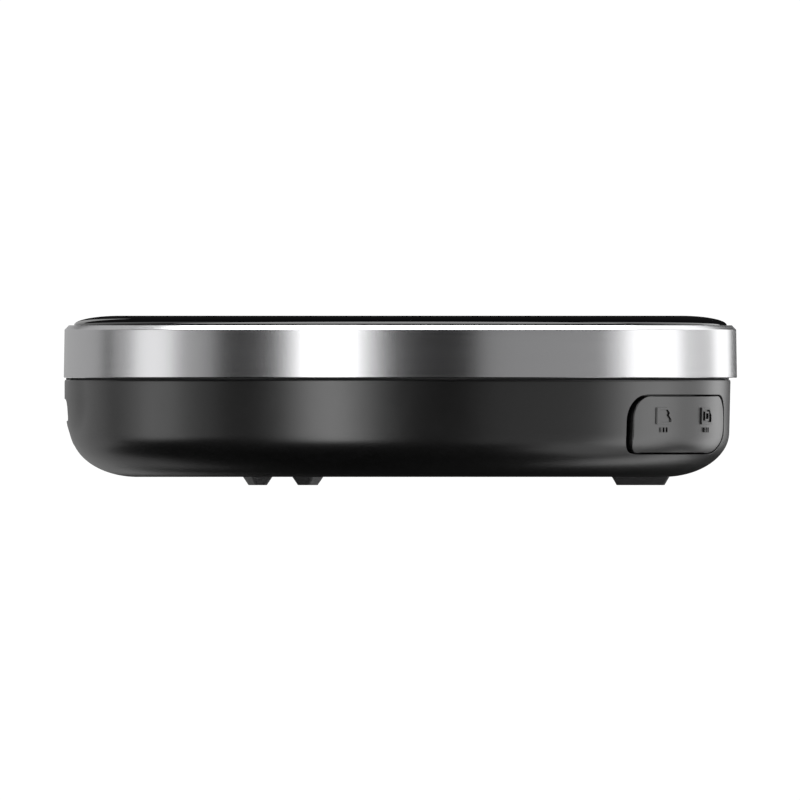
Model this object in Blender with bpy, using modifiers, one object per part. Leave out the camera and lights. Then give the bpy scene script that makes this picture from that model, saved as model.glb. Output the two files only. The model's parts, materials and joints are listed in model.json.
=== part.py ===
"""Round in-car media box, 88 mm across: a black glass top in an aluminium trim ring on a dark
moulded housing, with a hinged flap over two card sockets and a USB-C socket opposite the flap.

Metres, +Z up. The origin is the centre of the footprint, on the plane the feet stand on. The
front is -Y, the flap is to the front right and the USB-C socket is on -X. A bearing is an angle
in plan, counted from the front (-Y) towards +X.
"""

import math

import bmesh
import bpy

MM = 0.001

# Driving dimensions, in millimetres.
RING_R = 44.0  # outside of the trim ring, the widest piece
FOOT_H = 1.07  # the underside of the housing above the table
RIM_Z = 13.75  # top edge of the housing
RING_Z = (14.07, 20.90)
TOP_Z = 22.15  # flat middle of the glass
CORNER = (34.4, 6.95, 8.6, 5.88)  # housing corner: ellipse centre r and z, half-axes r and z
SIDE_R = 43.15  # housing at its rim, after the side's slight draft
WALL = 1.8
FLOOR_Z = 2.6
GLASS_R = 42.65
GLASS_EDGE_Z = 20.93
GLASS_SHOULDER = 6.05  # how far the glass's rounded shoulder reaches inwards
PORT_Z = 9.69
PORT_W, PORT_H = 8.34, 2.56
BOSS_R, BOSS_OUT = 30.0, 43.9  # port boss: its own radius, and how far out on -X it reaches
BOARD_Z = (6.9, 7.9)
BOARD_R = 38.4
POST_R_AT, POST_BEARINGS = 33.0, (0, 120, 240)
FLAP_BEARING = 62.0
FLAP_S, FLAP_Z, FLAP_CORNER, FLAP_T = (-12.46, 12.45), (4.25, 11.6), 3.3, 1.4
BAY_S, BAY_Z, BAY_CORNER, BAY_DEPTH = (-13.67, 12.85), (4.05, 11.8), 2.8, 2.2
BAY_WALL = 3.3  # inner face of the thickened wall behind the flap, below the outer surface
HINGE_S, HINGE_DEPTH = 11.95, 0.5  # hinge axis: sideways, and below the outer surface
PIN_R, PIN_HOLE_R, PIN_Z = 0.2, 0.26, (6.2, 13.0)
CARD_END = 37.9  # how far out along the flap's bearing a latched card ends
CARD_Z = 8.5
FEET = {  # name: centre x, centre y, turn in degrees
    "foot_front_left": (-18.65, -25.3, 99.0),
    "foot_back_left": (-12.1, 29.0, 79.0),
    "foot_right": (31.4, -3.7, 0.0),
}
FOOT_SIZE, FOOT_TAPER, FOOT_SUNK = (7.5, 2.85), 0.55, 0.45
GAP = 0.3

PARTS = "vehicle_media_box"
CUTTERS = "cutters"


# ---------------------------------------------------------------- scene and helpers


def clear_scene():
    for obj in list(bpy.data.objects):
        bpy.data.objects.remove(obj)
    for name in (PARTS, CUTTERS):
        if name not in bpy.data.collections:
            bpy.context.scene.collection.children.link(bpy.data.collections.new(name))


def principled(name, color, roughness, metallic=0.0):
    mat = bpy.data.materials.new(name)
    mat.use_nodes = True
    shader = mat.node_tree.nodes["Principled BSDF"]
    shader.inputs["Base Color"].default_value = (*color, 1.0)
    shader.inputs["Roughness"].default_value = roughness
    shader.inputs["Metallic"].default_value = metallic
    return mat


def make_materials():
    return {
        "housing": principled("housing_plastic", (0.022, 0.022, 0.023), 0.42),
        "aluminium": principled("ring_aluminium", (0.66, 0.66, 0.67), 0.26, 1.0),
        "glass": principled("black_glass", (0.006, 0.006, 0.007), 0.06),
        "rubber": principled("black_rubber", (0.025, 0.025, 0.026), 0.7),
        "carrier": principled("carrier_plastic", (0.03, 0.03, 0.032), 0.6),
        "board": principled("board_laminate", (0.02, 0.09, 0.045), 0.45),
        "chip": principled("chip_resin", (0.03, 0.03, 0.033), 0.5),
        "shield": principled("tinned_steel", (0.62, 0.62, 0.6), 0.32, 1.0),
        "steel": principled("screw_steel", (0.55, 0.55, 0.56), 0.3, 1.0),
        "pad": principled("thermal_pad", (0.32, 0.4, 0.47), 0.8),
        "ceramic": principled("patch_ceramic", (0.62, 0.55, 0.42), 0.5),
        "flex": principled("antenna_film", (0.42, 0.2, 0.05), 0.4),
        "lead": principled("lead_jacket", (0.05, 0.05, 0.055), 0.5),
        "card": principled("card_plastic", (0.05, 0.055, 0.07), 0.4),
        "sim": principled("sim_plastic", (0.72, 0.73, 0.75), 0.45),
    }


def add_object(name, mesh, mat=None, parent=None):
    """A part if it has a material, and otherwise a cutter or guide that isn't shown."""
    obj = bpy.data.objects.new(name, mesh)
    bpy.data.collections[PARTS if mat else CUTTERS].objects.link(obj)
    if mat:
        obj.data.materials.append(mat)
    else:
        obj.display_type = "WIRE"
        obj.hide_render = True
    obj.parent = parent
    return obj


def add_empty(name, location=(0, 0, 0), turn=0.0, parent=None):
    empty = bpy.data.objects.new(name, None)
    bpy.data.collections[PARTS].objects.link(empty)
    empty.location = [v * MM for v in location]
    empty.rotation_euler = (0, 0, math.radians(turn))
    empty.parent = parent
    return empty


def mesh_from(name, bm):
    mesh = bpy.data.meshes.new(name)
    bm.to_mesh(mesh)
    bm.free()
    return mesh


def block(name, low, high, mat=None, parent=None, corner=0.0, along="Z", segments=5):
    """A box between two corners, its four edges along one axis rounded."""
    bm = bmesh.new()
    bmesh.ops.create_cube(bm, size=1.0)
    size = [(h - l) * MM for l, h in zip(low, high)]
    middle = [(h + l) / 2 * MM for l, h in zip(low, high)]
    bmesh.ops.scale(bm, vec=size, verts=bm.verts)
    if corner:
        axis = "XYZ".index(along)
        edges = [e for e in bm.edges if abs((e.verts[0].co - e.verts[1].co)[axis]) > size[axis] / 2]
        bmesh.ops.bevel(bm, geom=edges, offset=corner * MM, segments=segments, profile=0.5,
                        affect="EDGES")
    bmesh.ops.translate(bm, vec=middle, verts=bm.verts)
    return add_object(name, mesh_from(name, bm), mat, parent)


def rod(name, radius, low, high, centre=(0, 0), mat=None, parent=None, sides=24):
    """An upright cylinder between two heights."""
    bm = bmesh.new()
    bmesh.ops.create_cone(bm, cap_ends=True, segments=sides, radius1=radius * MM,
                          radius2=radius * MM, depth=(high - low) * MM)
    bmesh.ops.translate(bm, vec=[v * MM for v in (*centre, (low + high) / 2)], verts=bm.verts)
    return add_object(name, mesh_from(name, bm), mat, parent)


def turned(name, profile, mat=None, parent=None, steps=72):
    """A closed (r, z) profile turned about Z. It runs down its outer side."""
    mesh = bpy.data.meshes.new(name)
    count = len(profile)
    closing = [] if profile[0][0] == profile[-1][0] == 0 else [(count - 1, 0)]
    edges = [(i, i + 1) for i in range(count - 1)] + closing
    mesh.from_pydata([(r * MM, 0, z * MM) for r, z in profile], edges, [])
    obj = add_object(name, mesh, mat, parent)
    screw = obj.modifiers.new("turn", "SCREW")
    screw.steps = screw.render_steps = steps
    screw.use_merge_vertices = True
    screw.merge_threshold = 0.000001
    return obj


def combine(obj, operation, *others):
    for other in others:
        boolean = obj.modifiers.new(f"{operation.lower()}_{other.name}", "BOOLEAN")
        boolean.operation = operation
        boolean.solver = "EXACT"
        boolean.object = other


def cut(obj, *cutters):
    combine(obj, "DIFFERENCE", *cutters)


def join(obj, *others):
    combine(obj, "UNION", *others)


def clip(obj, *others):
    combine(obj, "INTERSECT", *others)


def at_bearing(radius, bearing):
    angle = math.radians(bearing)
    return radius * math.sin(angle), -radius * math.cos(angle)


def arc(centre_r, centre_z, half_r, half_z, start, end, count):
    """Points on an ellipse in the (r, z) plane, between two angles in degrees."""
    angles = [math.radians(start + (end - start) * i / count) for i in range(count + 1)]
    return [(centre_r + half_r * math.cos(a), centre_z + half_z * math.sin(a)) for a in angles]


# ---------------------------------------------------------------- housing


def housing_side(inset, top=RIM_Z):
    """The housing's side and corner from its rim down to its flat underside, moved inwards."""
    centre_r, centre_z, half_r, half_z = CORNER
    corner = arc(centre_r, centre_z, half_r - inset, half_z - inset, 0, -90, 7)
    return [(SIDE_R - inset, top)] + corner


def housing_solid(name, inset, top=RIM_Z, base=None):
    """The whole form of the housing, filled, its side and corner moved inwards."""
    side = housing_side(inset, top)
    if base is not None:
        side = [point for point in side if point[1] > base] + [(CORNER[0], base)]
    return turned(name, [(0, top)] + side + [(0, side[-1][1])])


def make_port_boss():
    """A turned form of smaller radius, its axis moved towards -X, that stands proud there."""
    shift = BOSS_OUT - BOSS_R
    side = [(BOSS_R - 0.2, RIM_Z - 0.05), (BOSS_R, RIM_Z - 0.25), (BOSS_R, 11.0),
            (BOSS_R - 0.35, 7.8), (BOSS_R - 0.83, 6.2), (BOSS_R - 1.15, 5.4), (BOSS_R - 2.4, 4.2)]
    boss = turned("port_boss", [(0, side[0][1])] + side + [(0, side[-1][1])])
    boss.location.x = -shift * MM
    clip(boss, block("port_boss_range", (-46, -16, 0), (-38.5, 16, 16)))
    return boss


def make_housing(mats, bay):
    side = housing_side(0)
    housing = turned("lower_housing", [(0, RIM_Z)] + side + [(0, FOOT_H)], mats["housing"])
    join(housing, make_port_boss())

    # The hollow leaves the wall behind the flap thicker.
    hollow = housing_solid("housing_hollow", WALL, RIM_Z + 1, FLOOR_Z)
    thick = block("bay_thickening", (30, -15.6, 1), (50, 14.8, 13), parent=bay)
    cut(thick, housing_solid("bay_room", BAY_WALL, RIM_Z + 2, FLOOR_Z - 0.6))
    cut(hollow, thick)
    cut(housing, hollow)

    # The flap's recess has a floor parallel to the outer surface.
    recess = block("bay_recess", (30, BAY_S[0], BAY_Z[0]), (50, BAY_S[1], BAY_Z[1]), parent=bay,
                   corner=BAY_CORNER, along="X", segments=6)
    cut(recess, housing_solid("bay_floor", BAY_DEPTH, RIM_Z + 3))
    window = block("card_window", (35, -11.3, 7.6), (45, 9.6, 9.9), parent=bay)
    pin_hole = rod("pin_hole", PIN_HOLE_R, 9.5, PIN_Z[1] + 0.1, hinge_place(), parent=bay)
    cut(housing, recess, window, pin_hole)

    # The USB-C mouth, and the pocket behind it for the socket's shell.
    mouth = block("port_mouth", (-46, -PORT_W / 2, PORT_Z - PORT_H / 2),
                  (-38, PORT_W / 2, PORT_Z + PORT_H / 2), corner=PORT_H / 2 - 0.02, along="X")
    pocket = block("port_pocket", (-42.95, -4.7, PORT_Z - 1.8), (-36, 4.7, PORT_Z + 1.8))
    cut(housing, mouth, pocket)

    for i, bearing in enumerate(POST_BEARINGS):
        centre = at_bearing(POST_R_AT, bearing)
        join(housing, rod(f"post_tube_{i}", 3.4, FLOOR_Z - 0.5, BOARD_Z[0] - GAP, centre))
        cut(housing,
            rod(f"post_socket_{i}", 2.5, FLOOR_Z, BOARD_Z[0] + 1, centre),
            rod(f"screw_hole_{i}", 0.9, 0, FLOOR_Z + 1, centre),
            rod(f"screw_counterbore_{i}", 1.9, 0, FOOT_H + 0.85, centre))
    for name, (x, y, turn) in FEET.items():
        half_l, half_w = FOOT_SIZE[0] / 2 + 0.15, FOOT_SIZE[1] / 2 + 0.15
        pocket = block(f"pocket_{name}", (-half_l, -half_w, 0), (half_l, half_w, FOOT_H + 0.6))
        pocket.location = (x * MM, y * MM, 0)
        pocket.rotation_euler.z = math.radians(turn)
        cut(housing, pocket)


def make_feet(mats):
    """Tapered blocks, sunk a little into pockets in the underside."""
    for name, (x, y, turn) in FEET.items():
        bm = bmesh.new()
        bmesh.ops.create_cube(bm, size=1.0)
        sides = [e for e in bm.edges if abs((e.verts[0].co - e.verts[1].co).z) > 0.5]
        bmesh.ops.scale(bm, vec=(FOOT_SIZE[0] * MM, FOOT_SIZE[1] * MM, FOOT_H * MM), verts=bm.verts)
        bmesh.ops.bevel(bm, geom=sides, offset=0.35 * MM, segments=3, profile=0.5, affect="EDGES")
        bmesh.ops.translate(bm, vec=(0, 0, FOOT_H * MM / 2), verts=bm.verts)
        for vert in [v for v in bm.verts if v.co.z < FOOT_H * MM / 2]:
            vert.co.x -= math.copysign(FOOT_TAPER * MM, vert.co.x)
            vert.co.y -= math.copysign(FOOT_TAPER * MM, vert.co.y)
        top = [f for f in bm.faces if f.normal.z > 0.9 and f.calc_center_median().z > 0]
        sunk = bmesh.ops.extrude_face_region(bm, geom=top)["geom"]
        bmesh.ops.delete(bm, geom=top, context="FACES")
        raised = [g for g in sunk if isinstance(g, bmesh.types.BMVert)]
        bmesh.ops.translate(bm, vec=(0, 0, FOOT_SUNK * MM), verts=raised)
        foot = add_object(name, mesh_from(name, bm), mats["rubber"])
        foot.location = (x * MM, y * MM, 0)
        foot.rotation_euler.z = math.radians(turn)


# ---------------------------------------------------------------- top


def make_top(mats):
    """Trim ring, adhesive gasket and glass."""
    low, high = RING_Z
    ledge = (18.6, 19.0)
    ring = [
        (GLASS_R + 0.25, high - 0.35), (GLASS_R + 0.3, high), (RING_R - 0.75, high),
        (RING_R - 0.3, high - 0.2), (RING_R - 0.1, high - 0.6), (RING_R, low + 0.2),
        (RING_R - 0.15, low), (42.2, low), (42.2, ledge[0]), (39.6, ledge[0]), (39.6, ledge[1]),
        (GLASS_R + 0.25, ledge[1]),
    ]
    turned("trim_ring", ring, mats["aluminium"])
    turned("panel_gasket", [(42.2, 19.65), (42.2, 19.15), (39.8, 19.15), (39.8, 19.65)],
           mats["rubber"])
    shoulder_r = GLASS_R - GLASS_SHOULDER
    drop = TOP_Z - GLASS_EDGE_Z
    shoulder = arc(shoulder_r, GLASS_EDGE_Z, GLASS_SHOULDER, drop, 90, 0, 8)
    under = [(GLASS_R, 20.0), (GLASS_R - 0.2, 19.8), (0, 19.8)]
    turned("glass_panel", [(0, TOP_Z)] + shoulder + under, mats["glass"])


# ---------------------------------------------------------------- inside


def make_carrier(mats):
    """The inner frame: a skirt inside the ring, a web, and three posts that clamp the board."""
    skirt = [(41.1, 18.3), (41.1, 13.1), (40.2, 13.1), (40.2, 17.3), (28.5, 17.3), (28.5, 18.3)]
    carrier = turned("inner_carrier", skirt, mats["carrier"])
    for i, bearing in enumerate(POST_BEARINGS):
        centre = at_bearing(POST_R_AT, bearing)
        join(carrier,
             rod(f"post_upper_{i}", 3.2, BOARD_Z[1] + GAP, 17.6, centre),
             rod(f"post_lower_{i}", 2.2, FLOOR_Z + GAP, BOARD_Z[1] + 1, centre))
        cut(carrier, rod(f"post_bore_{i}", 0.85, FLOOR_Z - 1, 8.5, centre))
    for i, bearing in enumerate(spreader_bearings()):
        cut(carrier, rod(f"web_bore_{i}", 0.65, 17.0, 18.0, at_bearing(29.8, bearing), sides=16))


def spreader_bearings():
    return [bearing + 60 for bearing in POST_BEARINGS]


def make_heat_path(mats):
    """Processor under its shield, a pad, and an aluminium spreader plate below the glass."""
    spreader = rod("heat_spreader", 31.2, 16.0, 17.0, mat=mats["aluminium"], sides=72)
    join(spreader, block("spreader_pedestal", (-9, -9, 10.95), (9, 9, 16.5), corner=1.5))
    for i, bearing in enumerate(POST_BEARINGS):
        cut(spreader, rod(f"spreader_notch_{i}", 3.6, 15, 18, at_bearing(POST_R_AT, bearing)))
    for i, bearing in enumerate(spreader_bearings()):
        centre = at_bearing(29.8, bearing)
        cut(spreader, rod(f"spreader_hole_{i}", 0.8, 15, 18, centre, sides=16))
        make_screw(f"spreader_screw_{i + 1}", mats, centre, 15.85, 1.3, 0.5, 0.55, 1.9)
    block("thermal_pad", (-8.5, -8.5, 10.2), (8.5, 8.5, 10.8), mats["pad"])
    block("processor_package", (-7, -7, 8.05), (7, 7, 9.25), mats["chip"])
    make_can("processor_shield", mats, (-11, -11, 8.05), (11, 11, 10.05))


def make_can(name, mats, low, high, thickness=0.2):
    """A pressed shield: a box open underneath."""
    can = block(name, low, high, mats["shield"], corner=0.6)
    inner_low = (low[0] + thickness, low[1] + thickness, low[2] - 1)
    inner_high = (high[0] - thickness, high[1] - thickness, high[2] - thickness)
    cut(can, block(f"room_{name}", inner_low, inner_high, corner=0.4))


def make_screw(name, mats, centre, head_z, head_r, head_h, shank_r, shank_h):
    """A pan-head screw driven upwards, with a cross recess in its head."""
    screw = rod(name, head_r, head_z - head_h, head_z, centre, mats["steel"])
    join(screw, rod(f"shank_{name}", shank_r, head_z - 0.1, head_z + shank_h, centre, sides=16))
    half = head_r * 0.55
    for i, (half_x, half_y) in enumerate(((half, 0.15), (0.15, half))):
        low = (centre[0] - half_x, centre[1] - half_y, head_z - head_h - 1)
        high = (centre[0] + half_x, centre[1] + half_y, head_z - head_h + 0.25)
        cut(screw, block(f"drive_{name}_{i}", low, high))


def make_board(mats):
    board = rod("main_board", BOARD_R, *BOARD_Z, mat=mats["board"], sides=72)
    for i, bearing in enumerate(POST_BEARINGS):
        centre = at_bearing(POST_R_AT, bearing)
        cut(board, rod(f"board_hole_{i}", 2.5, 5, 10, centre))
        make_screw(f"housing_screw_{i + 1}", mats, centre, FOOT_H + 0.75, 1.6, 0.6, 0.75, 5.5)
    on_board = BOARD_Z[1] + 0.15
    packages = {
        "memory_package": ((-6, 13, on_board), (6, 22, on_board + 0.9)),
        "storage_package": ((-7, -23, on_board), (6, -12.5, on_board + 0.9)),
        "power_controller": ((-24, -9, on_board), (-18, -3, on_board + 0.8)),
    }
    for name, (low, high) in packages.items():
        block(name, low, high, mats["chip"])
    block("power_inductor", (-27, 2, on_board), (-20, 9, on_board + 3), mats["chip"], corner=0.8)
    make_can("modem_shield", mats, (-23, 11.5, on_board), (-8, 28, on_board + 2.2))
    make_can("wireless_shield", mats, (-20, -24, on_board), (-9, -12.5, on_board + 2.0))
    patch = block("navigation_antenna", (9, 11, on_board), (25, 27, on_board + 4.1),
                  mats["ceramic"], corner=1.0)
    cut(patch, rod("feed_hole", 0.8, on_board - 1, on_board + 6, (16, 19), sides=16))


def make_port(mats):
    """USB-C socket: a pressed shell and the tongue inside it."""
    shell_x = (-42.75, -35.4)
    half_w, half_h = 8.94 / 2, 3.2 / 2
    shell = block("usb_c_shell", (shell_x[0], -half_w, PORT_Z - half_h),
                  (shell_x[1], half_w, PORT_Z + half_h), mats["shield"], corner=1.55, along="X")
    room_w, room_h = PORT_W / 2, PORT_H / 2
    cut(shell, block("port_room", (shell_x[0] - 1, -room_w, PORT_Z - room_h),
                     (shell_x[1] + 1, room_w, PORT_Z + room_h), corner=1.24, along="X"))
    tongue = block("usb_c_tongue", (-42.2, -3.35, PORT_Z - 0.35), (-36.5, 3.35, PORT_Z + 0.35),
                   mats["chip"])
    join(tongue, block("tongue_root", (-37.6, -3.9, PORT_Z - 1.1), (-35.6, 3.9, PORT_Z + 1.1),
                       corner=0.9, along="X"))


def make_antennas(mats):
    """Two film antennas round the inside of the carrier's skirt, each on a thin coaxial lead."""
    inner, outer, low, high = 39.55, 39.85, 13.6, 16.7
    antennas = {  # bearings of the film's ends, and the lead's route from the board to the film
        "back": (195, 255, [(-17, 31, 8.3), (-17, 31, 9.4), (-18, 31.5, 10.8), (-20.6, 31.5, 12.4),
                            (-23.6, 30.2, 14.0), (-25.6, 28.8, 14.8), (-26.9, 27.4, 15.0)]),
        "front": (300, 350, [(-15, -27.5, 8.3), (-15, -27.5, 9.4), (-15.6, -28.4, 11),
                             (-17.4, -30.2, 13), (-19.6, -31.6, 14.6), (-21.6, -31.7, 15.0)]),
    }
    for side, (start, end, route) in antennas.items():
        ring = [(outer, high), (outer, low), (inner, low), (inner, high)]
        film = turned(f"antenna_film_{side}", ring, mats["flex"])
        half = outer * math.sin(math.radians((end - start) / 2))
        keep = block(f"film_range_{side}", (25, -half, 10), (45, half, 20))
        keep.rotation_euler.z = math.radians((start + end) / 2 - 90)
        clip(film, keep)
        make_lead(f"antenna_lead_{side}", mats["lead"], route, 0.57)


def make_lead(name, mat, route, radius):
    """A round lead along a smooth curve that its route pulls into shape."""
    curve = bpy.data.curves.new(name, "CURVE")
    curve.dimensions = "3D"
    curve.resolution_u = curve.render_resolution_u = 4
    curve.bevel_depth = radius * MM
    curve.bevel_resolution = 2
    curve.use_fill_caps = True
    spline = curve.splines.new("NURBS")
    spline.points.add(len(route) - 1)
    for point, place in zip(spline.points, route):
        point.co = [v * MM for v in place] + [1.0]
    spline.order_u = 4
    spline.use_endpoint_u = True
    add_object(name, curve, mat)


def make_sockets(mats, bay):
    """Card sockets, side by side on the board behind the flap, open towards it."""
    sockets = {  # name: left side, right side, inner end
        "memory_card_socket": (-11.5, 0.2, 21.8),
        "sim_card_socket": (0.5, 9.8, 24.4),
    }
    mouth, low, high, sheet = 36.7, 8.05, 9.6, 0.22
    for name, (left, right, inner) in sockets.items():
        shell = block(name, (inner, left, low), (mouth, right, high), mats["shield"], bay)
        cut(shell, block(f"room_{name}", (inner + sheet, left + sheet, low + sheet),
                         (mouth + 1, right - sheet, high - sheet), parent=bay))


# ---------------------------------------------------------------- moving pieces


def hinge_place():
    """The hinge axis in the bay's own frame: outwards, sideways."""
    return math.sqrt(SIDE_R ** 2 - HINGE_S ** 2) - HINGE_DEPTH, HINGE_S


def make_cards(mats, bay):
    """A memory card and a SIM card, each latched with its end just proud of its socket."""
    memory = add_empty("memory_card_slide", (CARD_END, -5.65, CARD_Z), parent=bay)
    card = block("memory_card", (-15, -5.5, 0), (0, 5.5, 0.7), mats["card"], memory,
                 corner=0.8, segments=3)
    cut(card, block("memory_card_notch", (-16, 3.9, -1), (-8.6, 6.5, 2), parent=memory))
    sim = add_empty("sim_card_slide", (CARD_END, 5.15, CARD_Z), parent=bay)
    card = block("sim_card", (-12.3, -4.4, 0), (0, 4.4, 0.67), mats["sim"], sim,
                 corner=0.8, segments=3)
    cutter = block("sim_card_corner", (-2, -2, -1), (2, 2, 2), parent=sim)
    cutter.location = (-12.3 * MM, 4.4 * MM, 0)
    cutter.rotation_euler.z = math.radians(45)
    cut(card, cutter)


def make_flap(mats, bay):
    """The flap is a piece of the housing's own surface, bored for its steel pin at one end."""
    hinge_u, hinge_s = hinge_place()
    hinge = add_empty("flap_hinge", (hinge_u, hinge_s, 0), parent=bay)

    def plate(name, side, heights, corner, mat=None):
        """A rounded plate through the wall, its place counted from the hinge axis."""
        return block(name, (34 - hinge_u, side[0] - hinge_s, heights[0]),
                     (50 - hinge_u, side[1] - hinge_s, heights[1]), mat, hinge, corner, "X", 6)

    flap = plate("card_flap", FLAP_S, FLAP_Z, FLAP_CORNER, mats["housing"])
    clip(flap, housing_solid("flap_outer", 0, 16.0))
    cut(flap, housing_solid("flap_inner", FLAP_T, 16.0),
        rod("flap_bore", PIN_HOLE_R, PIN_Z[0] - 0.3, 14.0, parent=hinge))
    rod("hinge_pin", PIN_R, *PIN_Z, (hinge_u, hinge_s), mats["steel"], bay)

    seal = plate("flap_seal", (-12.1, 10.0), (5.3, 10.9), 1.8, mats["rubber"])
    clip(seal, housing_solid("seal_outer", FLAP_T + 0.12, 16.0))
    cut(seal, housing_solid("seal_inner", BAY_DEPTH - 0.12, 17.0),
        plate("seal_window", (-11.4, 9.6), (6.0, 10.2), 1.2))


def main():
    clear_scene()
    mats = make_materials()
    bay = add_empty("card_bay", turn=FLAP_BEARING - 90)
    make_housing(mats, bay)
    make_feet(mats)
    make_top(mats)
    make_carrier(mats)
    make_board(mats)
    make_heat_path(mats)
    make_port(mats)
    make_antennas(mats)
    make_sockets(mats, bay)
    make_cards(mats, bay)
    make_flap(mats, bay)


main()
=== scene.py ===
import json
import math

import bmesh
import bpy
from mathutils import Matrix, Vector

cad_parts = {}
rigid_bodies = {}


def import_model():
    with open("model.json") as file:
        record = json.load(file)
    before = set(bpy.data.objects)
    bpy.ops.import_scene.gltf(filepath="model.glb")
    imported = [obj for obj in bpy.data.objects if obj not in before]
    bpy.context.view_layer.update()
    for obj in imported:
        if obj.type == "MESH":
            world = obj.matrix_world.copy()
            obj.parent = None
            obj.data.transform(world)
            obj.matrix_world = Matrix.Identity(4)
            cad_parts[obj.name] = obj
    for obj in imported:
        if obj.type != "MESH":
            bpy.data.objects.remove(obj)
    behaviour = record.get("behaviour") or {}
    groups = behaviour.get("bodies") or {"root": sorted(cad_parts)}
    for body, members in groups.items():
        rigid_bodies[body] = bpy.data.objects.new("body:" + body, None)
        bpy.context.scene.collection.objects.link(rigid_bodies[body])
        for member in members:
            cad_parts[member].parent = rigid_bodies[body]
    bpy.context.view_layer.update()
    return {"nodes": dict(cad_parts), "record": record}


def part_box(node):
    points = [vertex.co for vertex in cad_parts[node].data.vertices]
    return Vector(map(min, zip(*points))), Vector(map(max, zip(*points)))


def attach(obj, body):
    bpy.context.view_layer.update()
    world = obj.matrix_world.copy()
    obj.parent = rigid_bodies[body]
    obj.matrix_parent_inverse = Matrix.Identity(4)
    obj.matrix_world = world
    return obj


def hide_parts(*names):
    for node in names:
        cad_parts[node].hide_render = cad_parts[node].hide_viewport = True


for default in list(bpy.data.objects):
    bpy.data.objects.remove(default)
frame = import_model()

# The visible pieces are made again with fine surfaces, in the places that the frame gives.
# Lengths are in millimetres, heights are above the table, and a bearing is an angle in plan,
# counted from the front (-Y) towards +X.

MM = 0.001
NODES = frame["nodes"]


def box_mm(node):
    low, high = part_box(node)
    return low / MM, high / MM


HOUSING_LOW, HOUSING_HIGH = box_mm("lower_housing")
RING_LOW, RING_HIGH = box_mm("trim_ring")
GLASS_HIGH = box_mm("glass_panel")[1]

BASE_Z, RIM_Z = HOUSING_LOW.z, HOUSING_HIGH.z
RING_R, RING_Z = RING_HIGH.x, (RING_LOW.z, RING_HIGH.z)
GLASS_R, TOP_Z = GLASS_HIGH.x, GLASS_HIGH.z
CORNER = (34.4, 6.95, 8.6, 5.88)  # housing corner: ellipse centre r and z, half-axes r and z
SIDE_R = HOUSING_HIGH.x
WALL, FLOOR_Z = 1.8, 2.6
GLASS_EDGE_Z, GLASS_SHOULDER = 20.93, 6.05  # its edge, and how far its rounded shoulder reaches
RING_BORE, GLASS_ROOM_R, RING_CHAMFER = 42.2, 42.9, 0.62
LEDGE_R, LEDGE_Z = 39.6, (18.6, 19.0)  # the ring's ledge under the glass
PORT_Z, PORT_W, PORT_H, TONGUE_T = 9.69, 8.34, 2.56, 0.7
SOCKET_ROOM_X, SOCKET_ROOM = (-42.95, -36), (4.7, 1.8)  # the pocket for the USB-C shell
CONTACT_COUNT, CONTACT_PITCH, CONTACT_SIZE = 12, 0.5, (2.4, 0.27, 0.06)
BOSS_R, BOSS_OUT, BOSS_BLEND = 30.0, 43.9, 0.22  # the boss's own radius, its reach, its soft edge
# How much smaller the boss's own radius is at each height. It ends in the housing's corner.
BOSS_DROP = ((1.0, 9.8), (1.4, 7.4), (1.8, 5.6), (2.2, 4.5), (4.2, 2.4), (5.4, 1.15),
             (6.2, 0.83), (7.8, 0.35), (9.2, 0.12), (11.0, 0.0))
POST_R_AT, POST_BEARINGS = 33.0, (0, 120, 240)
TUBE_R, TUBE_ROOM_R, TUBE_TOP = 3.4, 2.5, 6.6
SCREW_HOLE_R, COUNTERBORE_R, COUNTERBORE_DEEP = 0.9, 1.9, 0.85
FLAP_BEARING = 62.0
FLAP_S, FLAP_Z, FLAP_CORNERS, FLAP_T = (-12.46, 12.45), (4.2, 11.65), (3.3, 3.0, 1.9, 4.0), 1.4
BAY_S, BAY_Z, BAY_CORNERS = (-13.67, 12.85), (4.1, 11.75), (2.8, 3.4, 2.5, 3.6)
BAY_DEPTH, BAY_WALL, BAY_WALL_TOP, BAY_WALL_ANGLE = 2.2, 3.3, 13.0, 21
WINDOW_S, WINDOW_Z = (-11.3, 9.6), (7.6, 9.9)
HINGE_S, HINGE_DEPTH, PIN_HOLE_R, PIN_Z = 11.95, 0.5, 0.26, (6.2, 13.0)
FEET = {  # centre x and y, and the turn in degrees
    "foot_front_left": (-18.65, -25.3, 99.0),
    "foot_back_left": (-12.1, 29.0, 79.0),
    "foot_right": (31.4, -3.7, 0.0),
}
FOOT_POCKET = (7.8, 3.15, 0.6)
FOOT_SIZE, FOOT_TAPER, FOOT_SUNK, FOOT_CORNER = (7.5, 2.85), 0.55, 0.45, 0.55
EDGE = 0.08  # radius on the moulded edges
LIP_R = (42.33, 42.39)  # outside of the housing's lip under the ring, at its top and below it
RIM_EDGE = (0.1, 0.32)  # the rim's edge is an ellipse, its half-axes r and z
SHARP = math.radians(9)
BAY = Matrix.Rotation(math.radians(FLAP_BEARING - 90), 4, "Z")


# ---------------------------------------------------------------- camera, floor and light


def make_camera():
    """Level and square on, without perspective; the ring spans 0.8416 of the picture's width."""
    camera = bpy.data.objects.new("camera", bpy.data.cameras.new("camera"))
    bpy.context.scene.collection.objects.link(camera)
    camera.data.type = "ORTHO"
    camera.data.ortho_scale = 2 * RING_R * MM / 0.8416
    camera.location = (-0.05 * MM, -0.6, 11.13 * MM)
    camera.rotation_euler = (math.radians(90), 0, 0)
    camera.data.clip_start, camera.data.clip_end = 0.01, 10
    bpy.context.scene.camera = camera


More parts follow.
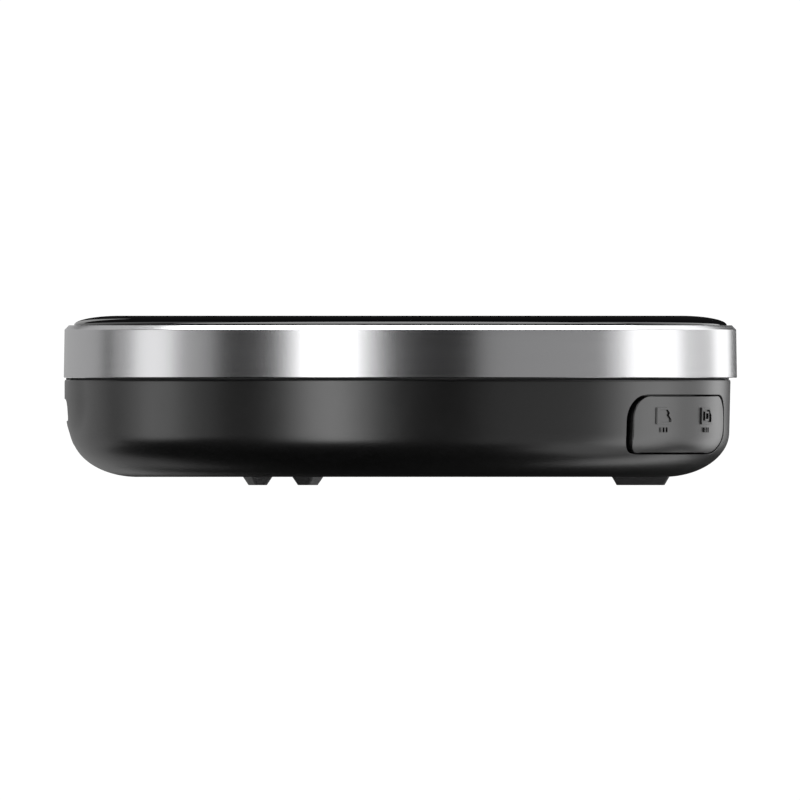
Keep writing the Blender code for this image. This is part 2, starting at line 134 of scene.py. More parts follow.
def soft_box(name, bearing, width, radiance, low, high, distance=0.7):
    """An upright soft box that faces the object and fills `width` degrees of its surroundings."""
    light = bpy.data.lights.new(name, "AREA")
    light.shape = "RECTANGLE"
    light.size = 2 * distance * math.tan(math.radians(width / 2))
    light.size_y = high - low
    light.energy = radiance * math.pi * light.size * light.size_y
    lamp = bpy.data.objects.new(name, light)
    bpy.context.scene.collection.objects.link(lamp)
    angle = math.radians(bearing)
    lamp.location = (distance * math.sin(angle), -distance * math.cos(angle), (low + high) / 2)
    lamp.rotation_euler = (math.radians(90), 0, angle)
    lamp.visible_camera = False


def top_box(name, size, height, radiance, location=(0, 0)):
    """A soft box that hangs over the object and faces down."""
    light = bpy.data.lights.new(name, "AREA")
    light.shape = "RECTANGLE"
    light.size, light.size_y = size
    light.energy = radiance * math.pi * size[0] * size[1]
    lamp = bpy.data.objects.new(name, light)
    bpy.context.scene.collection.objects.link(lamp)
    lamp.location = (*location, height)
    lamp.visible_camera = False


FLOOR_SIZE, FLOOR_GAP = 3, 0.00003  # metres; the gap keeps the feet's faces clear of the floor
SOFT_BOXES = [  # name, bearing, width in degrees, radiance, bottom and top in metres
    ("key_left", -24, 18, 2.1, -0.45, 0.5),
    ("key_left_edge", -23, 33, 0.75, -0.45, 0.5),
    ("side_left", -92, 20, 0.85, -0.22, 0.16),
    ("side_left_edge", -90, 50, 0.42, -0.22, 0.16),
    ("back_left", -148, 54, 0.45, -0.3, 0.2),
    ("back_left_high", -138, 40, 0.5, 0.2, 0.9),
    ("under_left", -152, 22, 0.3, -0.65, -0.3),
    ("front_right", 48, 44, 0.34, -0.6, 0.16),
    ("side_right", 96, 28, 1.9, -0.47, 0.16),
    ("side_right_edge", 96, 46, 0.7, -0.47, 0.16),
    ("low_right", 90, 56, 0.65, -1.1, -0.5),
    ("under_right", 143, 22, 1.0, -0.92, -0.33),
    ("back_right", 143, 18, 1.0, -0.2, 0.2),
    ("back_right_edge", 136, 36, 0.7, -0.24, 0.2),
    ("back_right_high", 134, 40, 1.5, 0.2, 0.9),
]


def make_world():
    """White behind the object, and dim as a light, so that the soft boxes shape the metal."""
    world = bpy.data.worlds.new("studio")
    bpy.context.scene.world = world
    world.use_nodes = True
    tree = world.node_tree
    tree.nodes.clear()
    path = tree.nodes.new("ShaderNodeLightPath")
    dim, white = (tree.nodes.new("ShaderNodeBackground") for _ in range(2))
    dim.inputs["Color"].default_value = (1, 1, 1, 1)
    dim.inputs["Strength"].default_value = 0.01
    white.inputs["Strength"].default_value = 1.05
    white.inputs["Color"].default_value = (1, 1, 1, 1)
    mix = tree.nodes.new("ShaderNodeMixShader")
    out = tree.nodes.new("ShaderNodeOutputWorld")
    tree.links.new(path.outputs["Is Camera Ray"], mix.inputs["Fac"])
    tree.links.new(dim.outputs[0], mix.inputs[1])
    tree.links.new(white.outputs[0], mix.inputs[2])
    tree.links.new(mix.outputs[0], out.inputs["Surface"])


def make_studio():
    """Camera, lights and floor. The floor is seen, but adds no reflection to the object."""
    make_camera()
    make_world()
    bpy.context.scene.view_settings.view_transform = "Standard"
    for soft in SOFT_BOXES:
        soft_box(*soft)
    top_box("overhead", (0.9, 0.7), 0.55, 4.6, (0, -0.06))
    bpy.ops.mesh.primitive_plane_add(size=FLOOR_SIZE)
    floor = bpy.context.object
    floor.name = "floor"
    floor.location.z = -FLOOR_GAP
    floor.data.materials.append(floor_material())
    floor.visible_glossy = floor.visible_shadow = False


# ---------------------------------------------------------------- materials


class Nodes:
    """A material's node tree, built a call at a time."""

    def __init__(self, name, color, roughness, metallic=0.0, ior=1.5):
        self.mat = bpy.data.materials.new(name)
        self.mat.use_nodes = True
        self.tree = self.mat.node_tree
        self.shader = self.tree.nodes["Principled BSDF"]
        self.set("Base Color", (*color, 1.0))
        self.set("Roughness", roughness)
        self.set("Metallic", metallic)
        self.set("IOR", ior)
        self.place = self.tree.nodes.new("ShaderNodeTexCoord").outputs["Object"]

    def set(self, socket, value):
        self.shader.inputs[socket].default_value = value

    def link(self, output, target):
        self.tree.links.new(output, target)

    def stretch(self, scale):
        mapping = self.tree.nodes.new("ShaderNodeMapping")
        mapping.inputs["Scale"].default_value = scale
        self.link(self.place, mapping.inputs["Vector"])
        return mapping.outputs["Vector"]

    def noise(self, scale, detail=3.0, stretch=None):
        """Noise whose grain is about 1 / scale metres across."""
        node = self.tree.nodes.new("ShaderNodeTexNoise")
        node.inputs["Scale"].default_value = scale
        node.inputs["Detail"].default_value = detail
        self.link(self.stretch(stretch) if stretch else self.place, node.inputs["Vector"])
        return node.outputs["Fac"]

    def spread(self, value, low, high):
        """A 0 to 1 value as a number between low and high."""
        node = self.tree.nodes.new("ShaderNodeMapRange")
        node.inputs["To Min"].default_value = low
        node.inputs["To Max"].default_value = high
        self.link(value, node.inputs["Value"])
        return node.outputs["Result"]

    def tint(self, value, dark, light):
        node = self.tree.nodes.new("ShaderNodeMix")
        node.data_type = "RGBA"
        node.inputs["A"].default_value = (*dark, 1.0)
        node.inputs["B"].default_value = (*light, 1.0)
        self.link(value, node.inputs["Factor"])
        return node.outputs["Result"]

    def bump(self, value, height_mm, strength=1.0):
        node = self.tree.nodes.new("ShaderNodeBump")
        node.inputs["Distance"].default_value = height_mm * MM
        node.inputs["Strength"].default_value = strength
        self.link(value, node.inputs["Height"])
        self.link(node.outputs["Normal"], self.shader.inputs["Normal"])

    def color_from(self, value, dark, light):
        self.link(self.tint(value, dark, light), self.shader.inputs["Base Color"])

    def roughness_from(self, value, low, high):
        self.link(self.spread(value, low, high), self.shader.inputs["Roughness"])


def floor_material():
    """Pale paper that glows far out, so that it meets the white background without a horizon."""
    n = Nodes("floor_paper", (0.78, 0.78, 0.78), 0.8)
    n.color_from(n.noise(60, 4), (0.77, 0.77, 0.77), (0.79, 0.79, 0.79))
    distance = n.tree.nodes.new("ShaderNodeVectorMath")
    distance.operation = "LENGTH"
    n.link(n.place, distance.inputs[0])
    glow = n.tree.nodes.new("ShaderNodeMapRange")
    glow.inputs["From Min"].default_value = 0.15
    glow.inputs["From Max"].default_value = 0.5
    n.link(distance.outputs["Value"], glow.inputs["Value"])
    n.link(glow.outputs["Result"], n.shader.inputs["Emission Strength"])
    n.set("Emission Color", (1, 1, 1, 1))
    return n.mat


def moulded(name, dark, light, roughness, grain=6500, height=0.004, metallic=0.0, ior=1.55):
    """Satin moulded plastic: a fine spark-eroded texture and faint, broad changes of sheen."""
    n = Nodes(name, light, roughness[0], metallic, ior)
    n.color_from(n.noise(90, 4), dark, light)
    n.roughness_from(n.noise(260, 5), *roughness)
    n.bump(n.noise(grain, 2), height, 0.35)
    return n.mat


def turned_metal(name, dark, light, roughness, stretch=(40, 40, 9000), height=0.0012):
    """Metal with fine lines left by turning or brushing, along the short stretch axes."""
    n = Nodes(name, light, roughness[0], 1.0)
    lines = n.noise(1.0, 4, stretch)
    n.color_from(lines, dark, light)
    n.roughness_from(lines, *roughness)
    n.bump(lines, height, 0.3)
    return n.mat


def black_glass():
    n = Nodes("black_glass", (0.001, 0.001, 0.0012), 0.03, ior=1.42)
    n.color_from(n.noise(30, 3), (0.0008, 0.0008, 0.001), (0.0014, 0.0014, 0.0017))
    n.roughness_from(n.noise(150, 5), 0.02, 0.05)
    n.bump(n.noise(70, 2), 0.004, 0.15)
    return n.mat


def board_laminate():
    n = Nodes("board_laminate", (0.01, 0.05, 0.025), 0.35)
    n.color_from(n.noise(900, 2, (1, 4, 1)), (0.008, 0.04, 0.02), (0.014, 0.075, 0.036))
    n.bump(n.noise(1500, 2), 0.01, 0.4)
    return n.mat


def make_materials():
    return {
        "housing_plastic": moulded("housing_plastic", (0.0012, 0.0012, 0.00125),
                                   (0.002, 0.002, 0.0021), (0.28, 0.34), ior=1.78),
        "ring_aluminium": turned_metal("ring_aluminium", (0.62, 0.62, 0.63), (0.68, 0.68, 0.69),
                                       (0.2, 0.27)),
        "black_glass": black_glass(),
        "black_rubber": moulded("black_rubber", (0.016, 0.016, 0.0165), (0.026, 0.026, 0.027),
                                (0.5, 0.62), 4000, 0.01),
        "foot_rubber": moulded("foot_rubber", (0.07, 0.07, 0.071), (0.09, 0.09, 0.091),
                               (0.5, 0.62), 4000, 0.01),
        "contact_gold": turned_metal("contact_gold", (0.75, 0.5, 0.2), (0.85, 0.6, 0.27),
                                     (0.2, 0.3), (300, 4000, 4000)),
        # painted shade: a dull, weakly reflecting near-black for the strip in the rim-to-ring gap,
        # standing in for the seam's shadow
        "seam_painted_shade": moulded("seam_painted_shade", (0.018, 0.018, 0.018), (0.026, 0.026, 0.026),
                             (0.85, 0.95), 3000, 0.01, ior=1.15),
        "carrier_plastic": moulded("carrier_plastic", (0.012, 0.012, 0.013), (0.02, 0.02, 0.021),
                                   (0.5, 0.65)),
        "cast_aluminium": moulded("cast_aluminium", (0.4, 0.4, 0.41), (0.5, 0.5, 0.51),
                                  (0.35, 0.5), 2500, 0.02, metallic=1.0),
        "board_laminate": board_laminate(),
        "chip_resin": moulded("chip_resin", (0.012, 0.012, 0.013), (0.022, 0.022, 0.024),
                              (0.4, 0.6), 5000, 0.01),
        "tinned_steel": turned_metal("tinned_steel", (0.5, 0.5, 0.48), (0.6, 0.6, 0.58),
                                     (0.22, 0.38), (60, 2500, 60)),
        "screw_steel": turned_metal("screw_steel", (0.32, 0.32, 0.33), (0.42, 0.42, 0.43),
                                    (0.25, 0.4), (1500, 1500, 300)),
        "pad_silicone": moulded("pad_silicone", (0.2, 0.28, 0.35), (0.26, 0.35, 0.42),
                                (0.6, 0.8), 2500, 0.02),
        "patch_ceramic": moulded("patch_ceramic", (0.5, 0.42, 0.3), (0.6, 0.52, 0.38),
                                 (0.4, 0.6), 3000, 0.01),
        "antenna_film": moulded("antenna_film", (0.24, 0.09, 0.015), (0.32, 0.13, 0.025),
                                (0.2, 0.3), 2500, 0.006),
        "lead_jacket": moulded("lead_jacket", (0.02, 0.02, 0.021), (0.035, 0.035, 0.036),
                               (0.35, 0.5), 4000, 0.006),
        "card_plastic": moulded("card_plastic", (0.008, 0.008, 0.009), (0.014, 0.014, 0.015),
                                (0.35, 0.5), 5000, 0.006),
        "sim_plastic": moulded("sim_plastic", (0.6, 0.6, 0.62), (0.68, 0.68, 0.7),
                               (0.35, 0.45), 5000, 0.004),
    }


def dress_frame(mats):
    """Every CAD node takes the material of its own slot."""
    slots = {s["node"]: s["material_slot"] for s in frame["record"]["subparts"]}
    for name, obj in NODES.items():
        obj.data.materials.clear()
        obj.data.materials.append(mats[slots[name]])


# ---------------------------------------------------------------- mesh helpers


def add_piece(name, mesh, mat=None):
    obj = bpy.data.objects.new(name, mesh)
    bpy.context.scene.collection.objects.link(obj)
    if mat:
        obj.data.materials.clear()
        obj.data.materials.append(mat)
    return obj


def arc(centre_r, centre_z, half_r, half_z, start, end, count):
    """Points on an ellipse in the (r, z) plane, between two angles in degrees."""
    angles = [math.radians(start + (end - start) * i / count) for i in range(count + 1)]
    return [(centre_r + half_r * math.cos(a), centre_z + half_z * math.sin(a)) for a in angles]


def fillet(r, z, radius, start, end, count=4):
    return arc(r, z, radius, radius, start, end, count)


def lathe(name, profile, mat=None, steps=288, shape=None):
    """A closed profile turned about Z. `shape` may move each (radius, bearing, height)."""
    bm = bmesh.new()
    rings = []
    for r, z in profile:
        count = steps if r > 1e-6 else 1
        ring = []
        for i in range(count):
            angle = 2 * math.pi * i / steps
            radius = shape(r, angle, z) if shape else r
            ring.append(bm.verts.new((radius * math.cos(angle) * MM,
                                      radius * math.sin(angle) * MM, z * MM)))
        rings.append(ring)
    pairs = list(zip(rings, rings[1:]))
    if len(rings[0]) > 1 and len(rings[-1]) > 1:
        pairs.append((rings[-1], rings[0]))
    for upper, lower in pairs:
        for i in range(steps):
            j = (i + 1) % steps
            corners = [upper[i % len(upper)], lower[i % len(lower)],
                       lower[j % len(lower)], upper[j % len(upper)]]
            unique = list(dict.fromkeys(corners))
            if len(unique) > 2:
                bm.faces.new(unique)
    if shape:
        bmesh.ops.triangulate(bm, faces=bm.faces)
    mesh = bpy.data.meshes.new(name)
    bm.to_mesh(mesh)
    bm.free()
    return add_piece(name, mesh, mat)


def loop_solid(name, loops, mat=None):
    """A solid skinned over closed loops of points, first to last, with flat caps."""
    bm = bmesh.new()
    rings = [[bm.verts.new(Vector(p) * MM) for p in loop] for loop in loops]
    count = len(rings[0])
    for upper, lower in zip(rings, rings[1:]):
        for i in range(count):
            j = (i + 1) % count
            bm.faces.new((upper[i], lower[i], lower[j], upper[j]))
    bm.faces.new(rings[0])
    bm.faces.new(reversed(rings[-1]))
    bmesh.ops.recalc_face_normals(bm, faces=bm.faces)
    mesh = bpy.data.meshes.new(name)
    bm.to_mesh(mesh)
    bm.free()
    return add_piece(name, mesh, mat)


def block(name, low, high, place=Matrix.Identity(4), corner=0.0, along="Z"):
    """A box between two corners, its four edges along one axis rounded."""
    bm = bmesh.new()
    bmesh.ops.create_cube(bm, size=1.0)
    size = [(h - l) * MM for l, h in zip(low, high)]
    middle = [(h + l) / 2 * MM for l, h in zip(low, high)]
    bmesh.ops.scale(bm, vec=size, verts=bm.verts)
    if corner:
        axis = "XYZ".index(along)
        edges = [e for e in bm.edges
                 if abs((e.verts[0].co - e.verts[1].co)[axis]) > size[axis] / 2]
        bmesh.ops.bevel(bm, geom=edges, offset=corner * MM, segments=12, profile=0.5,
                        affect="EDGES")
    bmesh.ops.translate(bm, vec=middle, verts=bm.verts)
    bmesh.ops.transform(bm, matrix=place, verts=bm.verts)
    mesh = bpy.data.meshes.new(name)
    bm.to_mesh(mesh)
    bm.free()
    return add_piece(name, mesh)


def rod(name, radius, low, high, centre=(0, 0), place=Matrix.Identity(4), sides=64):
    """A cylinder between two heights."""
    bm = bmesh.new()
    bmesh.ops.create_cone(bm, cap_ends=True, segments=sides, radius1=radius * MM,
                          radius2=radius * MM, depth=(high - low) * MM)
    bmesh.ops.translate(bm, vec=[v * MM for v in (*centre, (low + high) / 2)], verts=bm.verts)
    bmesh.ops.transform(bm, matrix=place, verts=bm.verts)
    mesh = bpy.data.meshes.new(name)
    bm.to_mesh(mesh)
    bm.free()
    return add_piece(name, mesh)


def combine(obj, operation, *others):
    """Applies a Boolean with each other solid, and removes them."""
    for other in others:
        boolean = obj.modifiers.new("boolean", "BOOLEAN")
        boolean.operation = operation
        boolean.solver = "EXACT"
        boolean.object = other
        depsgraph = bpy.context.evaluated_depsgraph_get()
        mesh = bpy.data.meshes.new_from_object(obj.evaluated_get(depsgraph))
        obj.modifiers.clear()
        old, obj.data = obj.data, mesh
        bpy.data.meshes.remove(old)
        bpy.data.objects.remove(other)


def cut(obj, *cutters):
    combine(obj, "DIFFERENCE", *cutters)


def smooth(obj, angle=SHARP):
    obj.data.shade_smooth()
    obj.data.set_sharp_from_angle(angle=angle)


def stand_for(obj, body, slot, *nodes):
    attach(obj, body)
    if nodes:
        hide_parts(*nodes)


def at_bearing(radius, bearing):
    angle = math.radians(bearing)
    return radius * math.sin(angle), -radius * math.cos(angle)


# ---------------------------------------------------------------- housing form


def housing_side(inset, top, corner_count=28):
    """The housing's side and corner from its rim down to its flat underside, moved inwards."""
    centre_r, centre_z, half_r, half_z = CORNER
    corner = arc(centre_r, centre_z, half_r - inset, half_z - inset, 0, -90, corner_count)
    side = [(SIDE_R - inset, top)]
    steps = 8
    for i in range(1, steps):
        share = i / steps
        side.append((SIDE_R - inset - share * (SIDE_R - corner[0][0] - inset),
                     top + share * (centre_z - top)))
    return side + corner


def housing_radius(z):
    """The housing's outer radius at a height, without the port boss."""
    centre_r, centre_z, half_r, half_z = CORNER
    if z < centre_z:
        return centre_r + half_r * math.sqrt(max(0.0, 1 - ((centre_z - z) / half_z) ** 2))
    side = centre_r + half_r
    return side + (SIDE_R - side) * (z - centre_z) / (RIM_Z - centre_z)


def housing_form(name, inset, top):
    """A solid of the housing's outer form, moved inwards, up to a height."""
    side = housing_side(inset, top)
    return lathe(name, [(0, top)] + side + [(0, side[-1][1])])


def boss_drop(z):
    """How much smaller the port boss's own radius is, lower down."""
    for (low, more), (high, less) in zip(BOSS_DROP, BOSS_DROP[1:]):
        if z < high:
            return more + (less - more) * (z - low) / (high - low)
    return 0.0


def boss_shape(r, angle, z):
    """Swells the side out to the port boss, round -X, with a soft blend."""
    if r < CORNER[0] - 1:
        return r
    shift = BOSS_OUT - BOSS_R
    from_port = abs(angle - math.pi)
    if from_port > math.radians(32):
        return r
    own = BOSS_R - boss_drop(z)
    reach = shift * math.cos(from_port) + math.sqrt(own ** 2 - (shift * math.sin(from_port)) ** 2)
    reach -= housing_radius(RIM_Z) - r if z > RIM_Z - RIM_EDGE[1] else 0.0
    mix = min(1.0, max(0.0, 0.5 + 0.5 * (reach - r) / BOSS_BLEND))
    return r + (reach - r) * mix + BOSS_BLEND * mix * (1 - mix) if mix > 0 else r


def bay_point(s, z, depth):
    """A point at a depth below the housing's outer surface, along the flap's bearing."""
    outwards = math.sqrt(housing_radius(z) ** 2 - s ** 2) - depth
    return BAY @ Vector((outwards, s, z))


def rounded_outline(side, heights, corners, count=12):
    """A rounded rectangle's (s, z) points. Its corners run from the upper right anticlockwise."""
    points = []
    places = ((1, 1, 0), (0, 1, 90), (0, 0, 180), (1, 0, 270))
    for (right, up, start), radius in zip(places, corners):
        s = side[right] + radius * (1 - 2 * right)
        z = heights[up] + radius * (1 - 2 * up)
        points += arc(s, z, radius, radius, start, start + 90, count)
    return points


def grown(side, heights, corners, by):
    """A rounded rectangle's sides, heights and corners after it grows by a margin all round."""
    return ((side[0] - by, side[1] + by), (heights[0] - by, heights[1] + by),
            [corner + by for corner in corners])


def edged_prism(name, side, heights, corners, edge_loops, deep):
    """A prism through the wall along the flap's bearing, whose edge follows the housing's surface.
    edge_loops holds (growth of the outline, depth below the surface)."""
    loops = []
    for growth, depth in edge_loops + [(0.0, deep)]:
        outline = rounded_outline(*grown(side, heights, corners, growth))
        loops.append([bay_point(s, z, depth) for s, z in outline])
    return loop_solid(name, loops)


def hinge_place():
    """The hinge axis in the flap's own frame: outwards and sideways."""
    return math.sqrt(SIDE_R ** 2 - HINGE_S ** 2) - HINGE_DEPTH, HINGE_S


def shell_shape(r, angle, z):
    """The port boss on the outside, and on the inside a thicker wall behind the flap."""
    if z > FLOOR_Z and r < housing_radius(z) - WALL / 2 and r > CORNER[0] - 2:
        sideways = angle - math.radians(FLAP_BEARING - 90)
        sideways = (sideways + math.pi) % (2 * math.pi) - math.pi
        behind_flap = abs(sideways) < math.radians(BAY_WALL_ANGLE) and z < BAY_WALL_TOP
        return r - (BAY_WALL - WALL if behind_flap else 0)
    return boss_shape(r, angle, z)


def make_housing(mats):
    """The moulded shell, lathed with its port boss, and everything that is cut into it."""
    centre_r, centre_z, half_r, half_z = CORNER
    inner = [(0, FLOOR_Z), (15, FLOOR_Z), (28, FLOOR_Z), (centre_r, FLOOR_Z + 0.1)]
    inner += arc(centre_r, centre_z, half_r - WALL, half_z - WALL, -84, 0, 14)
    lip = RIM_Z + 0.28
    inner += [(SIDE_R - WALL, 12.9), (SIDE_R - WALL, 13.1), (SIDE_R - WALL, lip - 0.06),
              (SIDE_R - WALL + 0.06, lip), (LIP_R[0], lip), (LIP_R[1], lip - 0.06),
              (LIP_R[1], RIM_Z)]
    outer = arc(SIDE_R - RIM_EDGE[0], RIM_Z - RIM_EDGE[1], *RIM_EDGE, 90, 0, 7)
    outer += housing_side(0, RIM_Z - RIM_EDGE[1])[1:]
    outer += [(r, BASE_Z) for r in (30, 20, 10)] + [(0, BASE_Z)]
    housing = lathe("housing_shell", inner + outer, mats["housing_plastic"], 360, shell_shape)

    flare = [(EDGE + 0.02, -3), (EDGE + 0.02, -0.02), (EDGE * 0.3, EDGE * 0.3), (0.0, EDGE)]
    recess = edged_prism("recess", BAY_S, BAY_Z, BAY_CORNERS, flare, 8)
    cut(recess, housing_form("bay_floor", BAY_DEPTH, RIM_Z + 3))
    cut(housing, recess,
        block("window", (35, WINDOW_S[0], WINDOW_Z[0]), (45, WINDOW_S[1], WINDOW_Z[1]), BAY, 0.4, "X"),
        rod("pin_hole", PIN_HOLE_R, 9.5, PIN_Z[1] + 0.1, hinge_place(), BAY, 32))
    port = (-PORT_W / 2, PORT_W / 2), (PORT_Z - PORT_H / 2, PORT_Z + PORT_H / 2)
    half_y, half_height = SOCKET_ROOM
    cut(housing,
        port_cutter("mouth", *port),
        block("pocket", (SOCKET_ROOM_X[0], -half_y, PORT_Z - half_height),
              (SOCKET_ROOM_X[1], half_y, PORT_Z + half_height)))
    for bearing in POST_BEARINGS:
        centre = at_bearing(POST_R_AT, bearing)
        combine(housing, "UNION", rod("tube", TUBE_R, FLOOR_Z - 0.5, TUBE_TOP, centre))
        cut(housing,
            rod("tube_room", TUBE_ROOM_R, FLOOR_Z, 8, centre),
            rod("hole", SCREW_HOLE_R, 0, FLOOR_Z + 1, centre),
            flared_hole("counterbore", COUNTERBORE_R, BASE_Z + COUNTERBORE_DEEP, centre))
    for x, y, turn in FEET.values():
        place = Matrix.Translation((x * MM, y * MM, 0)) @ Matrix.Rotation(math.radians(turn), 4, "Z")
        length, width, deep = FOOT_POCKET
        cut(housing, block("foot_pocket", (-length / 2, -width / 2, 0),
                           (length / 2, width / 2, BASE_Z + deep), place))
    smooth(housing)
    stand_for(housing, "housing", "housing_plastic", "lower_housing")


def make_seam_shade_strip(mats):
    """A thin dark strip that fills the gap between the housing's rim and the ring: painted shade for
    the seam's shadow, black like the carrier behind it, with a dull surface that reflects little.
    """
    inner, outer = LIP_R[1] + 0.02, SIDE_R - 0.2
    low, high = RIM_Z + 0.01, RING_Z[0] - 0.05
    profile = [(inner, high), (inner, low), (outer - 0.03, low), (outer, low + 0.03),
               (outer, high - 0.03), (outer - 0.03, high)]
    # the strip's dark, dull finish is painted shade for the shadowed gap under the ring
    seam = lathe("seam_shade_strip", profile, mats["seam_painted_shade"], 360, shell_shape)
    smooth(seam, math.radians(30))
    stand_for(seam, "housing", "black_rubber")


def flared_hole(name, radius, top, centre):
    """A counterbore from below, its lower edge rounded."""
    loops = []
    for grow, z in ((EDGE + 0.02, -1), (EDGE + 0.02, BASE_Z - 0.02),
                    (EDGE * 0.3, BASE_Z + EDGE * 0.3), (0, BASE_Z + EDGE), (0, top)):
        reach = radius + grow
        loops.append([(centre[0] + reach * math.cos(a), centre[1] + reach * math.sin(a), z)
                      for a in (2 * math.pi * i / 64 for i in range(64))])
    return loop_solid(name, loops)


def port_cutter(name, side, heights):
    """The USB-C mouth, its outer edge flared where it meets the boss."""
    corners = [PORT_H / 2 - 0.01] * 4
    loops = []
    for grow, depth in ((0.3, -3), (0.3, -0.08), (0.22, 0.0), (0.06, 0.08), (0.0, 0.26), (0.0, 6)):
        points = []
        for y, z in rounded_outline(*grown(side, heights, corners, grow)):
            surface = (BOSS_OUT - BOSS_R) + math.sqrt(BOSS_R ** 2 - y ** 2)
            points.append((-(surface - depth), y, z))
        loops.append(points)
    return loop_solid(name, loops)


# ---------------------------------------------------------------- flap


def make_flap(mats):
    """The curved cover, flush with the housing, bored for the pin at its right end."""
    rim = [(-EDGE, -3), (-EDGE, 0.0), (-EDGE * 0.3, EDGE * 0.3), (0.0, EDGE)]
    flap = edged_prism("flap_cover", FLAP_S, FLAP_Z, FLAP_CORNERS, rim, 8)
    combine(flap, "INTERSECT", housing_form("flap_outer", 0, RIM_Z))
    cut(flap, housing_form("flap_inner", FLAP_T, RIM_Z + 2),
        rod("bore", PIN_HOLE_R, PIN_Z[0] - 0.3, 14, hinge_place(), BAY, 32))
    flap.data.materials.clear()
    flap.data.materials.append(mats["housing_plastic"])
    smooth(flap)
    stand_for(flap, "flap", "housing_plastic", "card_flap")
    make_marks(mats)


def ribbon(bm, points, width=0.34, height=0.2, closed=False):
    """A raised line on the flap along (s, z) points, square in section, mitred at its corners."""
    count = len(points)
    rings = []
    for i, (s, z) in enumerate(points):
        before = points[i - 1] if closed or i else None
        after = points[(i + 1) % count] if closed or i < count - 1 else None
        directions = []
        if before:
            directions.append(Vector((s - before[0], z - before[1])).normalized())
        if after:
            directions.append(Vector((after[0] - s, after[1] - z)).normalized())
        along = sum(directions, Vector((0, 0))).normalized()
        across = Vector((-along.y, along.x))
        spread = width / 2 / max(0.4, abs(across.dot(Vector((-directions[0].y, directions[0].x)))))
        section = []
        for side, depth in ((-1, 0.1), (-0.8, -height), (0.8, -height), (1, 0.1)):
            place = Vector((s, z)) + across * spread * side
            section.append(bm.verts.new(bay_point(place.x, place.y, depth) * MM))
        rings.append(section)
    pairs = list(zip(rings, rings[1:])) + ([(rings[-1], rings[0])] if closed else [])
    for a, b in pairs:
        for i in range(4):
            j = (i + 1) % 4
            bm.faces.new((a[i], a[j], b[j], b[i]))
    if not closed:
        bm.faces.new(rings[0])
        bm.faces.new(reversed(rings[-1]))


def make_marks(mats):
    """Two generic card outlines moulded on the flap, and three short upright ribs under each."""
    bm = bmesh.new()
    middle_z, half_h = 9.05, 0.95
    card_s, half_w = -6.6, 1.5
    low, high = middle_z - half_h, middle_z + half_h
    left, right = card_s - half_w, card_s + half_w
    ribbon(bm, [(left, low), (left, high), (right - 0.9, high), (right - 0.35, high - 0.55),
                (right - 0.55, high - 0.85), (right, low + 0.55), (right, low)], closed=True)
    sim_s, half_w = 4.6, 1.6
    left, right = sim_s - half_w, sim_s + half_w
    ribbon(bm, [(left, low), (left, high), (right - 0.8, high), (right, high - 0.8), (right, low)],
           closed=True)
    ribbon(bm, [(sim_s - 0.6, low + 0.45), (sim_s - 0.6, high - 0.5), (sim_s + 0.5, high - 0.5),
                (sim_s + 0.5, low + 0.45)], 0.26, closed=True)
    for s in (card_s, sim_s):
        for shift in (-0.65, 0.0, 0.65):
            ribbon(bm, [(s + shift, 6.9), (s + shift, 7.55)], 0.28)
    bmesh.ops.recalc_face_normals(bm, faces=bm.faces)
    mesh = bpy.data.meshes.new("flap_marks")
    bm.to_mesh(mesh)
    bm.free()
    marks = add_piece("flap_marks", mesh, mats["housing_plastic"])
    smooth(marks, math.radians(30))
    stand_for(marks, "flap", "housing_plastic")


# ---------------------------------------------------------------- ring and glass


def make_ring(mats):
    """The aluminium band: a straight chamfer above, and inside it the ledge for the glass."""
    low, high = RING_Z
    side, lowest = RING_R - 0.1, low - 0.03
    profile = [(GLASS_ROOM_R, high - 0.3), (GLASS_ROOM_R + 0.03, high - 0.08),
               (GLASS_ROOM_R + 0.09, high), (GLASS_ROOM_R + 0.2, high)]
    profile += fillet(side - RING_CHAMFER, high - 0.1, 0.1, 90, 45)
    profile += fillet(side - 0.1, high - RING_CHAMFER, 0.1, 45, 0)
    drop = (high - RING_CHAMFER - 0.12 - low) / 6
    profile += [(side + 0.1 * i / 6, high - RING_CHAMFER - drop * i) for i in range(1, 7)]
    profile += [(RING_R, low + 0.05), (RING_R - 0.07, lowest), (RING_R - 0.3, lowest),
                (RING_BORE + 0.05, lowest), (RING_BORE, low + 0.05), (RING_BORE, LEDGE_Z[0]),
                (LEDGE_R, LEDGE_Z[0]), (LEDGE_R, LEDGE_Z[1]), (GLASS_ROOM_R, LEDGE_Z[1])]
    ring = lathe("ring_band", profile, mats["ring_aluminium"], 360)
    smooth(ring, math.radians(25))
    stand_for(ring, "housing", "ring_aluminium", "trim_ring")


def make_glass(mats):
    """The glass, flat in the middle, with a long elliptical shoulder."""
    drop = TOP_Z - GLASS_EDGE_Z
    shoulder = arc(GLASS_R - GLASS_SHOULDER, GLASS_EDGE_Z, GLASS_SHOULDER, drop, 90, 0, 48)
    flat = [(r, TOP_Z) for r in (8, 16, 24, 32)]
    under = [(GLASS_R, 20.0), (GLASS_R - 0.2, 19.8), (0, 19.8)]
    glass = lathe("glass_cover", [(0, TOP_Z)] + flat + shoulder + under, mats["black_glass"], 360)
    smooth(glass, math.radians(25))
    stand_for(glass, "housing", "black_glass", "glass_panel")


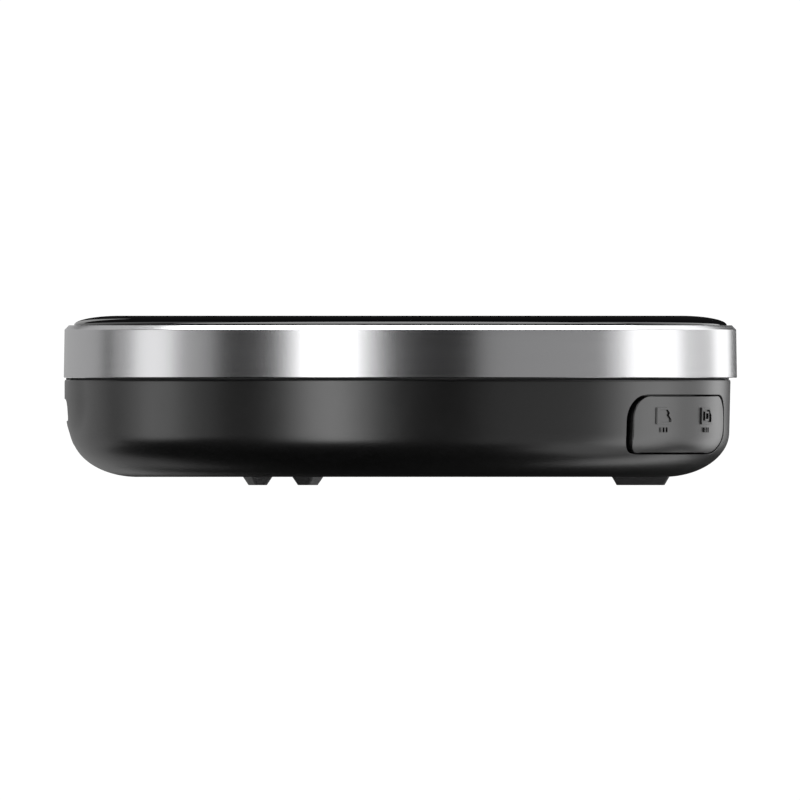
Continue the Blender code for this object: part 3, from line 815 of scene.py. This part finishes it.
# ---------------------------------------------------------------- feet and port


def make_feet(mats):
    """Tapered rubber blocks with soft edges, sunk a little into the underside."""
    for name, (x, y, turn) in FEET.items():
        place = Matrix.Translation((x, y, 0)) @ Matrix.Rotation(math.radians(turn), 4, "Z")
        loops = []
        for inset, z in ((FOOT_TAPER + 0.14, 0.0), (FOOT_TAPER + 0.05, 0.03),
                         (FOOT_TAPER, 0.12), (0.0, BASE_Z), (0.0, BASE_Z + FOOT_SUNK)):
            half_x, half_y = (size / 2 - inset for size in FOOT_SIZE)
            outline = rounded_outline((-half_x, half_x), (-half_y, half_y), [FOOT_CORNER] * 4, 8)
            loops.append([place @ Vector((px, py, z)) for px, py in outline])
        foot = loop_solid(name + "_block", loops, mats["foot_rubber"])
        smooth(foot, math.radians(25))
        stand_for(foot, "housing", "black_rubber", name)


def make_contacts(mats):
    """The twelve gold strips on each face of the port's tongue."""
    tip = box_mm("usb_c_tongue")[0].x
    bm = bmesh.new()
    for face in (PORT_Z - TONGUE_T / 2, PORT_Z + TONGUE_T / 2):
        for i in range(CONTACT_COUNT):
            across = (i - (CONTACT_COUNT - 1) / 2) * CONTACT_PITCH
            middle = Vector((tip + 1.5, across, face)) * MM
            size = Matrix.Diagonal((*(length * MM for length in CONTACT_SIZE), 1.0))
            strip = bmesh.ops.create_cube(bm, size=1.0, matrix=Matrix.Translation(middle) @ size)
            edges = dict.fromkeys(edge for vert in strip["verts"] for edge in vert.link_edges)
            bmesh.ops.bevel(bm, geom=list(edges), offset=0.015 * MM, segments=2, profile=0.5,
                            affect="EDGES")
    mesh = bpy.data.meshes.new("port_contacts")
    bm.to_mesh(mesh)
    bm.free()
    contacts = add_piece("port_contacts", mesh, mats["contact_gold"])
    smooth(contacts, math.radians(30))
    stand_for(contacts, "housing", "tinned_steel")


def main():
    make_studio()
    mats = make_materials()
    dress_frame(mats)
    make_housing(mats)
    make_seam_shade_strip(mats)
    make_flap(mats)
    make_ring(mats)
    make_glass(mats)
    make_feet(mats)
    make_contacts(mats)


main()
